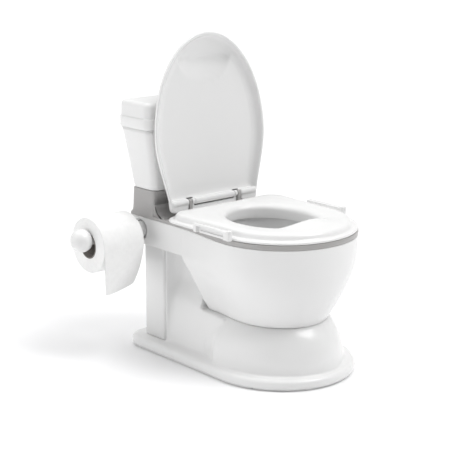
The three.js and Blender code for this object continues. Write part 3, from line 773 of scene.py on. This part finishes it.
def make_tank_lid():
    half, front, rear = cover_high[0], cover_low[1], cover_high[1]
    bottom, top, lip = cover_low[2], cover_high[2], COVER_LIP
    outer_levels = [
        (bottom, 0.8), (bottom + 0.8, 0), (lip - 2, 0), (lip - 0.7, 0.4), (lip, 1.3), (lip + 0.5, 1.9),
        (lip + 1.2, 2.1), (top - COVER_RISE, COVER_STEP),
    ]
    for z, by in edge_levels(top - COVER_RISE, COVER_RISE, COVER_RISE + 1):
        outer_levels.append((z, COVER_STEP + by))
    inner_levels = [(top - 3, 14), (top - 5, 8.5), (top - 9, 5.6), (bottom + 1, 4.6), (bottom, 4.2)]

    def rings(levels):
        return [at(rectangle(half - by, front + by, rear - by, max(13 - by, 5)), z) for z, by in levels]

    outer, inner = rings(outer_levels), rings(inner_levels)
    roof = shrunk(outer[-1], (0.02, 0.35, 0.7), top)
    ceiling = shrunk(inner[0], (0.5, 0.02), top - 3)
    cover = loft("cover_moulding", roof + outer[::-1] + inner[::-1] + ceiling, WHITE)
    place(cover, "tank_lid", "white_plastic", "tank_lid")


# ---------------------------------------------------------------- seat

SEAT_BOTTOM = RIM_TOP + 0.4
LIP_TOP = SEAT_BOTTOM + 4
SEAT_TOP = 249
SEAT_HALF, SEAT_REAR_HALF = 120, 121.8
SEAT_FRONT, SEAT_WAIST, SEAT_REAR, SEAT_CORNER = -185, 10, 88, 28
OPENING = (66, 83)
GUARD_HEIGHT = 11
GUARD_ANGLE = math.radians(40)
GRIP_TOP = 248
GRIP_FRONT, GRIP_REAR, GRIP_WIDTH = -80, 1.5, 10
HOLLOW_FRONT, HOLLOW_REAR, HOLLOW_DEPTH = -71, -6, 7
BOSS_RADIUS = 5.1


def guarded(z, share):
    """Height z round the opening, raised by the splash guard's share at the front."""

    def height(angle):
        off_front = np.abs((angle + math.pi / 2 + math.pi) % (2 * math.pi) - math.pi)
        along = np.cos(np.clip(off_front / GUARD_ANGLE, 0, 1) * math.pi / 2) ** 1.5
        return z + GUARD_HEIGHT * share * along

    return height


def make_seat_plate():
    bottom, lip, top = SEAT_BOTTOM, LIP_TOP, SEAT_TOP
    plan = outline(SEAT_HALF, SEAT_FRONT, BOWL_CENTRE, SEAT_REAR_HALF, SEAT_WAIST, SEAT_REAR, SEAT_CORNER)
    underside = [
        ("inner", 2.4, bottom - 8.6), ("inner", 2.5, bottom - 5), ("inner", 2.7, bottom - 0.6),
        ("inner", 3.6, bottom), ("inner", 10, bottom), ("between", 0.6, bottom), ("outer", 8, bottom),
        ("outer", 2.4, bottom), ("outer", 0.6, bottom + 0.3), ("outer", 0, bottom + 1.1),
    ]
    side = [
        ("outer", 0, lip - 1.6), ("outer", 0.4, lip - 0.6), ("outer", 1.3, lip), ("outer", 5, lip + 0.3),
        ("outer", 7.4, lip + 0.8), ("outer", 8.8, lip + 2), ("outer", 9.7, lip + 4),
        ("outer", 10.8, lip + 6.6), ("outer", 12.4, lip + 8.8), ("outer", 14.8, top - 1.1),
        ("outer", 18, top - 0.3),
    ]
    sitting_face = [
        ("between", 0.62, guarded(top, 0.04)), ("between", 0.5, guarded(top - 0.1, 0.16)),
        ("inner", 17, guarded(top - 0.5, 0.4)), ("inner", 13.5, guarded(top - 1, 0.62)),
        ("inner", 10, guarded(top - 1.7, 0.84)), ("inner", 7, guarded(top - 2.6, 1)),
        ("inner", 4.6, guarded(top - 3.8, 1.12)), ("inner", 2.6, guarded(top - 5.4, 1.2)),
        ("inner", 1.2, guarded(top - 7.2, 1.2)), ("inner", 0.4, guarded(top - 9.1, 1.1)),
        ("inner", 0.1, guarded(top - 11.2, 0.7)),
    ]
    skirt = [("inner", 0, top - 17), ("inner", 0, bottom - 7.4), ("inner", 0.5, bottom - 8.7)]
    skirt.append(("inner", 1.4, bottom - 9))
    steps = underside + side + sitting_face + skirt
    return loft("seat_plate", loop_rings(plan, OPENING, (0, OPENING_Y), steps), WHITE, closed=True)


def make_ear(side, reach):
    inner = reach - EAR
    ends = [(side * inner, 0.01), (side * inner, KNUCKLE), (side * reach, KNUCKLE), (side * reach, 0.01)]
    eye = turned_x("ear_eye", rounded(ends, 0.5), HINGE_Y, HINGE_Z, WHITE, count=48)
    span = sorted((side * (inner + 0.03), side * (reach - 0.03)))
    depth = (HINGE_Y - 1, HINGE_Y + 2.97)
    return [eye, box_mesh("ear_web", span, depth, (SEAT_BOTTOM + 0.5, HINGE_Z), WHITE, 0.4)]


def make_grip(side):
    """A rail along the seat's edge, hollowed under its outer face for the fingers, with a boss in front."""
    outer = seat_high[0]
    low = SEAT_BOTTOM + 0.06
    span = sorted((side * (outer - GRIP_WIDTH), side * outer))
    rail = box_mesh("rail", span, (GRIP_FRONT, GRIP_REAR), (low, GRIP_TOP), WHITE, 1.8)
    span = sorted((side * 112, side * (outer - 4)))
    shelf = box_mesh("shelf", span, (HOLLOW_FRONT - 1, HOLLOW_REAR - 4), (low, LIP_TOP - 0.5), WHITE, 0.4)
    span = sorted((side * (outer + 4), side * (outer - HOLLOW_DEPTH)))
    height = (SEAT_BOTTOM - 3, GRIP_TOP - 3)
    cut(rail, box_mesh("hollow", span, (HOLLOW_FRONT, HOLLOW_REAR), height, WHITE, 1.6))
    return [rail, shelf, make_boss(side, outer - BOSS_RADIUS, low)]


def make_boss(side, x, low):
    levels = [(low, 4.4), (low + 0.6, BOSS_RADIUS), (GRIP_TOP, BOSS_RADIUS), (GRIP_TOP + 1.2, 4.6)]
    levels.append((GRIP_TOP + 2, 3.2))
    rings = []
    for z, radius in levels:
        ring = []
        for angle in np.linspace(0, 2 * math.pi, 40, endpoint=False):
            y = GRIP_FRONT + 1 + radius * math.sin(angle)
            ring.append((side * (x + radius * math.cos(angle)), y, z))
        rings.append(ring)
    return loft("boss", rings, WHITE)


def make_seat():
    reach = POST_INNER - 1
    depth = (SEAT_REAR - 16, HINGE_Y + 3)
    tongue = box_mesh("tongue", (-reach, reach), depth, (SEAT_BOTTOM + 0.05, LIP_TOP - 1), WHITE, 0.8)
    depth = (HINGE_Y - 1.1, HINGE_Y + 2.95)
    height = (SEAT_BOTTOM + 0.4, HINGE_Z - KNUCKLE - 2.5)
    web = box_mesh("hinge_web", (0.1 - reach, reach - 0.1), depth, height, WHITE, 0.8)
    ears = [part for side in (-1, 1) for part in make_ear(side, reach)]
    grips = [part for side in (-1, 1) for part in make_grip(side)]
    seat = union("seat_moulding", [make_seat_plate(), tongue, web, *ears, *grips])
    place(seat, "seat", "white_plastic", "seat")


# ---------------------------------------------------------------- lid

LID_LEAN = math.radians(4)
LID_Y, LID_Z = 97, 238
LID_LENGTH = 290
LID_HALF = 117
LID_FOOT_HALF = 93.5
LID_DEPTH = 14.5
LID_SKIN = 3
LID_CROWN = 168
LID_BASE = 12
POCKET_CREASE, POCKET_HALF = LID_LENGTH - 41, 56
POCKET_BELOW, POCKET_ABOVE, POCKET_DEPTH = 42, 26, 9.5
FOOT_TOP = 19


def lid_point(x, along, above):
    """From the lid's own flat frame to its open place."""
    s, c = math.sin(LID_LEAN), math.cos(LID_LEAN)
    return (-x, LID_Y + along * s + above * c, LID_Z + along * c - above * s)


def lid_plan():
    middle = LID_LENGTH - LID_CROWN
    side = []
    corners = [(LID_FOOT_HALF, LID_BASE), (100, 48), (LID_HALF, middle - 36), (LID_HALF, middle)]
    for t in np.linspace(0, 1, 40):
        weights = ((1 - t) ** 3, 3 * t * (1 - t) ** 2, 3 * t * t * (1 - t), t ** 3)
        side.append(tuple(sum(w * c[i] for w, c in zip(weights, corners)) for i in (0, 1)))
    for i in range(1, 61):
        angle = i / 60 * math.pi / 2
        side.append((LID_HALF * math.cos(angle), middle + LID_CROWN * math.sin(angle)))
    mirrored = [(-x, y) for x, y in reversed(side[:-1])]
    bottom = [(LID_FOOT_HALF * t, LID_BASE) for t in np.linspace(-1, 1, 30)[1:-1]]
    return side + mirrored + bottom


def pocket(x, y):
    """Depth of the pocket that clears the splash guard: it slopes in up to a crease, then back out."""
    across = np.clip(1 - (x / POCKET_HALF) ** 2, 0, 1)
    reach_down = POCKET_BELOW * np.sqrt(across) + 1e-6
    reach_up = POCKET_ABOVE * np.sqrt(across) + 1e-6
    below = np.clip(1 - (POCKET_CREASE - y) / reach_down, 0, 1)
    above = np.clip(1 - (y - POCKET_CREASE) / reach_up, 0, 1)
    ramp = np.where(y < POCKET_CREASE, below, above)
    return POCKET_DEPTH * (0.6 * ramp + 0.4 * smoothstep(0, 1, ramp)) * across ** 0.6


def make_lid_shell():
    centre = (0, LID_LENGTH * 0.52)
    angle, outer = polar(lid_plan(), centre, 300)
    inner_depth = LID_DEPTH - LID_SKIN
    pocket_reach = 10.3     # only faces deeper than this follow the pocket, so the rim stays plain
    # (inset, depth) from the back face round the rim to the inner face
    edge = [
        (24, 14.4), (16, 13.6), (10, 12.2), (5.5, 10.3), (2.4, 8), (0.8, 5.4), (0.1, 3), (0, 1.2),
        (0.5, 0.3), (1.4, 0), (3.4, 0), (4.6, 0.4), (5.4, 1.4), (6.4, 3.6), (8.2, 6.4), (11, 8.8),
        (15, 10.4), (20, 11.2),
    ]
    rings = []

    def add_ring(radius, depth):
        x = centre[0] + radius * np.cos(angle)
        y = centre[1] + radius * np.sin(angle)
        deep = depth + (pocket(x, y) if depth > pocket_reach else 0)
        rings.append([lid_point(*p) for p in zip(x, y, np.broadcast_to(deep, x.shape))])

    for share in (0.02, 0.3, 0.55, 0.7, 0.78, 0.84):
        add_ring(outer * share, LID_DEPTH)
    for by, depth in edge:
        add_ring(outer - by, depth)
    for share in (0.84, 0.78, 0.7, 0.62, 0.54, 0.46, 0.38, 0.3, 0.2, 0.1, 0.02):
        add_ring(outer * share, inner_depth)
    return loft("lid_shell", densify(rings, 2), WHITE)


def densify(rings, times):
    """Adds rings between rings, by straight division."""
    result = []
    for here, there in zip(rings, rings[1:]):
        here, there = np.asarray(here), np.asarray(there)
        for k in range(times):
            result.append([tuple(p) for p in here + (there - here) * k / times])
    result.append(rings[-1])
    return result


def knuckle(name, start, end, rounding):
    radius = KNUCKLE + 0.5
    ends = [(start, 0.01), (start, radius), (end, radius), (end, 0.01)]
    return turned_x(name, rounded(ends, rounding), HINGE_Y, HINGE_Z, WHITE, count=48)


def make_foot(side):
    """The plate beside the notch, and its knuckle on the hinge."""
    inner, outer = POST_OUTER + 1, 93
    corners = [(inner, FOOT_TOP), (inner, 0), (outer - 1, 0), (outer + 0.8, FOOT_TOP)]
    plan = rounded(corners, 11, 8)
    middle, half = (inner + outer) / 2, (outer - inner) / 2
    rings = []
    for depth, by in [(0, 1.6), (0.5, 0.5), (1.5, 0), (7.5, 0), (8.6, 0.6), (9, 1.6)]:
        share = 1 - by / half
        ring = []
        for x, y in plan:
            along = y + by * (1 - y / FOOT_TOP)
            ring.append(lid_point(side * (middle + (x - middle) * share), along, depth))
        rings.append(ring)
    return [loft("foot", rings, WHITE), knuckle("knuckle", side * inner, side * (outer - 2), 1.2)]


def lid_notch(side):
    """Room for a seat ear and a post beside the lid's middle knuckle."""
    near, far = POST_INNER - EAR - 1.5, POST_OUTER + 0.5
    top = HINGE_Z - LID_Z + KNUCKLE + 1.5
    section = [(-2, -8), (top, -8), (top, LID_DEPTH + 3), (-2, LID_DEPTH + 3)]
    rings = [[lid_point(side * x, along, above) for along, above in section] for x in (near, far)]
    return loft("notch", rings, WHITE)


def make_lid():
    reach = POST_INNER - EAR - 2
    feet = [part for side in (-1, 1) for part in make_foot(side)]
    lid = fuse("lid_moulding", [make_lid_shell(), knuckle("bar", -reach, reach, 1), *feet], 1.0, 5)
    for side in (-1, 1):
        cut(lid, lid_notch(side))
    crisp(lid, 50)
    place(lid, "lid", "white_plastic", "lid")


# ---------------------------------------------------------------- pot


def make_pot():
    rim = 7.5               # from the pot's wall out to the edge of its rim
    half = pot_high[0] - rim
    length = (pot_high[1] - pot_low[1]) / 2 - rim
    top, floor = pot_high[2], pot_low[2]
    outside = [
        (floor, -30), (floor + 2.5, -24), (floor + 8, -17), (floor + 18, -12.5), (floor + 40, -6),
        (floor + 75, -2), (top - 6, 0), (top - 1.8, 0),
    ]
    edge = [
        (top - 1.6, 1), (top - 1.6, 6.7), (top - 0.9, 7.4), (top - 0.2, 7), (top, 6), (top, 0.6),
        (top - 0.3, -1.2), (top - 1.2, -2),
    ]
    inside = [
        (top - 6, -2.2), (floor + 75, -4.2), (floor + 40, -8.2), (floor + 18, -14.8), (floor + 9, -19),
        (floor + 4, -25), (floor + 2.4, -31),
    ]
    rings = []
    for z, grow in outside + edge + inside:
        ring = []
        for angle in np.linspace(0, 2 * math.pi, 160, endpoint=False):
            ring.append(((half + grow) * math.cos(angle), OPENING_Y + (length + grow) * math.sin(angle), z))
        rings.append(ring)
    place(loft("pot_moulding", rings, POT_WHITE), "pot", "pot_plastic", "pot")


# ---------------------------------------------------------------- roll holder and paper

HOLDER_Y = (spindle_low[1] + spindle_high[1]) / 2
HOLDER_Z = (spindle_low[2] + spindle_high[2]) / 2
ROLL_Y = (roll_low[1] + roll_high[1]) / 2
ROLL_Z = (roll_low[2] + roll_high[2]) / 2
ROLL_RADIUS = (roll_high[2] - roll_low[2]) / 2
CORE_OUTER = (core_high[2] - core_low[2]) / 2
CORE_BORE = 20
SPINDLE_RADIUS, TIP_RADIUS, FLANGE_RADIUS = 9.5, 5, 14
TIP_LENGTH = 14
KNOB_RADIUS, KNOB_CENTRE = 18.8, 10.5


def make_spindle():
    tip = knob_high[0] + GAP
    wall = -DECK_HALF
    profile = [
        (tip - TIP_LENGTH, 0.01), (tip - TIP_LENGTH, TIP_RADIUS), (tip, TIP_RADIUS), (tip, SPINDLE_RADIUS),
        (wall - 10.5, SPINDLE_RADIUS), (wall - 9, FLANGE_RADIUS), (wall + 5.5, FLANGE_RADIUS),
        (wall + 5.5, 0.01),
    ]
    spindle = turned_x("spindle_moulding", rounded(profile, 1), HOLDER_Y, HOLDER_Z, WHITE)
    place(spindle, "root", "white_plastic", "spindle")


def make_knob():
    """A ball cut flat where it meets the spindle, bored for the spindle's tip."""
    face = knob_high[0]
    bore = TIP_RADIUS + 0.4
    ball = [(face, bore), (face, 13.6)]
    for i in range(1, 33):
        angle = math.radians(-38 + i / 32 * 128)
        x = face - KNOB_CENTRE - KNOB_RADIUS * math.sin(angle)
        ball.append((x, max(KNOB_RADIUS * math.cos(angle), 0.02)))
    bore_end = face + GAP - TIP_LENGTH - 0.6
    ball += [(bore_end, 0.02), (bore_end, bore)]
    knob = turned_x("knob_moulding", ball, HOLDER_Y, HOLDER_Z, WHITE, closed=True)
    place(knob, "knob", "white_plastic", "spindle_knob")


def make_socket():
    radius = (socket_high[2] - socket_low[2]) / 2
    y = (socket_low[1] + socket_high[1]) / 2
    z = (socket_low[2] + socket_high[2]) / 2
    inner, outer = socket_high[0], socket_low[0]
    wall, hole = 2.2, 2.4
    floor = outer + 5
    cup = [(inner, hole), (inner, radius), (outer, radius)]
    cup += [(outer, radius - wall), (floor, radius - wall), (floor, hole)]
    socket = turned_x("socket_moulding", cup, y, z, WHITE, closed=True)
    place(socket, "root", "white_plastic", "holder_socket")


def make_roll():
    """The winding, its faces rippled a little by the plies."""
    left, right = roll_low[0], roll_high[0]
    steps = 40
    face = np.linspace(CORE_OUTER + GAP, ROLL_RADIUS - 1.2, steps)
    ripple = 0.35 * np.sin(np.linspace(0, 17, steps)) * np.linspace(0.3, 1, steps)
    left_face = [(left + 0.5 + abs(r), radius) for radius, r in zip(face, ripple)]
    right_face = [(right - 0.5 - abs(r), radius) for radius, r in zip(face[::-1], ripple[::-1])]
    outer = []
    for x in np.linspace(left + 1.2, right - 1.2, 24):
        outer.append((x, ROLL_RADIUS - 0.25 + 0.2 * math.sin(x * 0.7)))
    edge = ROLL_RADIUS - 0.5
    profile = left_face + [(left + 0.4, edge)] + outer + [(right - 0.4, edge)] + right_face
    roll = turned_x("paper_winding", profile, ROLL_Y, ROLL_Z, TISSUE, closed=True, count=180)
    roll.data.materials.append(ROLL_END)
    for polygon in roll.data.polygons:
        if abs(polygon.normal.x) > 0.6:
            polygon.material_index = 1
    place(roll, "roll", "paper", "paper_roll")


def make_core():
    left, right = roll_low[0], roll_high[0]
    tube = [(left, CORE_BORE), (left, CORE_OUTER), (right, CORE_OUTER), (right, CORE_BORE)]
    core = turned_x("card_tube", tube, ROLL_Y, ROLL_Z, CARD, closed=True, count=128)
    core.data.polygons.foreach_set("use_smooth", [abs(p.normal.x) < 0.5 for p in core.data.polygons])
    place(core, "roll", "cardboard", "roll_core")


SHEET_DROP = ROLL_Z - sheet_low[2]
SHEET_START = 0.72 * math.pi


def sheet_point(u, s, arc, radius):
    """A point of the loose end, u across the sheet and s along it from where it leaves the winding."""
    left, right = sheet_low[0], sheet_high[0]
    x = left + (right - left) * u
    if s < arc:
        angle = SHEET_START + s / radius
        return [x, ROLL_Y + radius * math.cos(angle), ROLL_Z + radius * math.sin(angle)]
    down = (s - arc) / SHEET_DROP
    curl = max(0.0, u * 0.75 + down * 0.75 - 0.72)
    sway = 0.7 * down * math.sin(u * 9 + down * 3)
    x -= 9 * curl ** 1.3 * u
    y = ROLL_Y - radius - 1.2 * down + 34 * curl ** 1.7 + sway
    return [x, y, ROLL_Z - (s - arc) + 5 * curl ** 1.5]


def make_sheet():
    """The loose end: it follows the roll's front, then hangs, and one lower corner curls back."""
    radius = ROLL_RADIUS + 0.6
    arc = (math.pi - SHEET_START) * radius
    length = arc + SHEET_DROP
    columns, rows = 60, 84
    verts = []
    for row in range(rows + 1):
        for column in range(columns + 1):
            u = column / columns
            point = sheet_point(u, length * row / rows, arc, radius)
            if row == rows:
                point[2] += 0.25 * math.sin(u * 210)
            verts.append(point)
    faces = []
    for row in range(rows):
        for column in range(columns):
            a = row * (columns + 1) + column
            faces.append((a, a + 1, a + columns + 2, a + columns + 1))
    sheet = mesh_object("hanging_sheet", verts, faces, TISSUE)
    thick = sheet.modifiers.new("thick", "SOLIDIFY")
    thick.thickness = 0.35 * MM
    thick.offset = 0
    apply_modifiers(sheet)
    place(sheet, "root", "paper", "paper_sheet")


# ---------------------------------------------------------------- placing, kept nodes, stage


def place(piece, body, slot, *nodes):
    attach(piece, body)
    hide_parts(*nodes)


KEPT = {
    "base_plate": WHITE,
    **{f"rubber_pad_{i}": RUBBER for i in range(1, 5)},
    **{f"base_screw_{i}": STEEL for i in range(1, 5)},
    "tank_screw_1": STEEL,
    "tank_screw_2": STEEL,
    "spindle_screw": STEEL,
    "hinge_pin_left": STEEL,
    "hinge_pin_right": STEEL,
}


def dress_kept_nodes():
    for name, material in KEPT.items():
        node = frame["nodes"][name]
        node.data.materials.clear()
        node.data.materials.append(material)


def make_floor():
    reach, below = 12 / MM, -0.15
    corners = ((-reach, -reach), (reach, -reach), (reach, reach), (-reach, reach))
    verts = at(corners, below)
    floor = mesh_object("studio_floor", verts, [(0, 1, 2, 3)], floor_material())


def soft_sun(name, towards, spread, strength):
    """A wide, distant softbox seen from the object in the direction towards."""
    data = bpy.data.lights.new(name, "SUN")
    data.angle = math.radians(spread)
    data.energy = strength
    light = bpy.data.objects.new(name, data)
    light.rotation_euler = Vector(towards).to_track_quat("Z", "Y").to_euler()
    light.location = Vector(towards) * 2
    bpy.context.collection.objects.link(light)


def make_world():
    """A pale room, darker on the camera's side so that the bowl's round front shades off."""
    world = bpy.data.worlds.new("studio")
    world.use_nodes = True
    tree = world.node_tree
    background = tree.nodes["Background"]
    coords = tree.nodes.new("ShaderNodeTexCoord")
    facing = tree.nodes.new("ShaderNodeVectorMath")
    facing.operation = "DOT_PRODUCT"
    facing.inputs[1].default_value = (-0.3, -0.95, 0)
    fade = tree.nodes.new("ShaderNodeMapRange")
    fade.inputs["From Min"].default_value = 0.3
    fade.inputs["From Max"].default_value = 0.8
    fade.inputs["To Min"].default_value = 0.66
    fade.inputs["To Max"].default_value = 0.05
    tree.links.new(coords.outputs["Generated"], facing.inputs[0])
    tree.links.new(facing.outputs["Value"], fade.inputs["Value"])
    tree.links.new(fade.outputs["Result"], background.inputs["Strength"])
    background.inputs["Color"].default_value = (1, 1, 1, 1)
    bpy.context.scene.world = world


def make_studio():
    soft_sun("overhead_softbox", (0.0, 0.2, 1.0), 60, 1.05)
    soft_sun("left_softbox", (-1.0, 0.4, 0.0), 60, 0.7)
    soft_sun("front_softbox", (0.35, -0.6, 1.05), 30, 1.45)
    make_world()
    bpy.context.scene.view_settings.view_transform = "Standard"


make_camera()
make_studio()
make_floor()
make_pedestal()
make_column()
make_bowl()
make_rim_deck()
make_tank()
make_tank_lid()
make_seat()
make_lid()
make_pot()
make_spindle()
make_knob()
make_socket()
make_roll()
make_core()
make_sheet()
dress_kept_nodes()
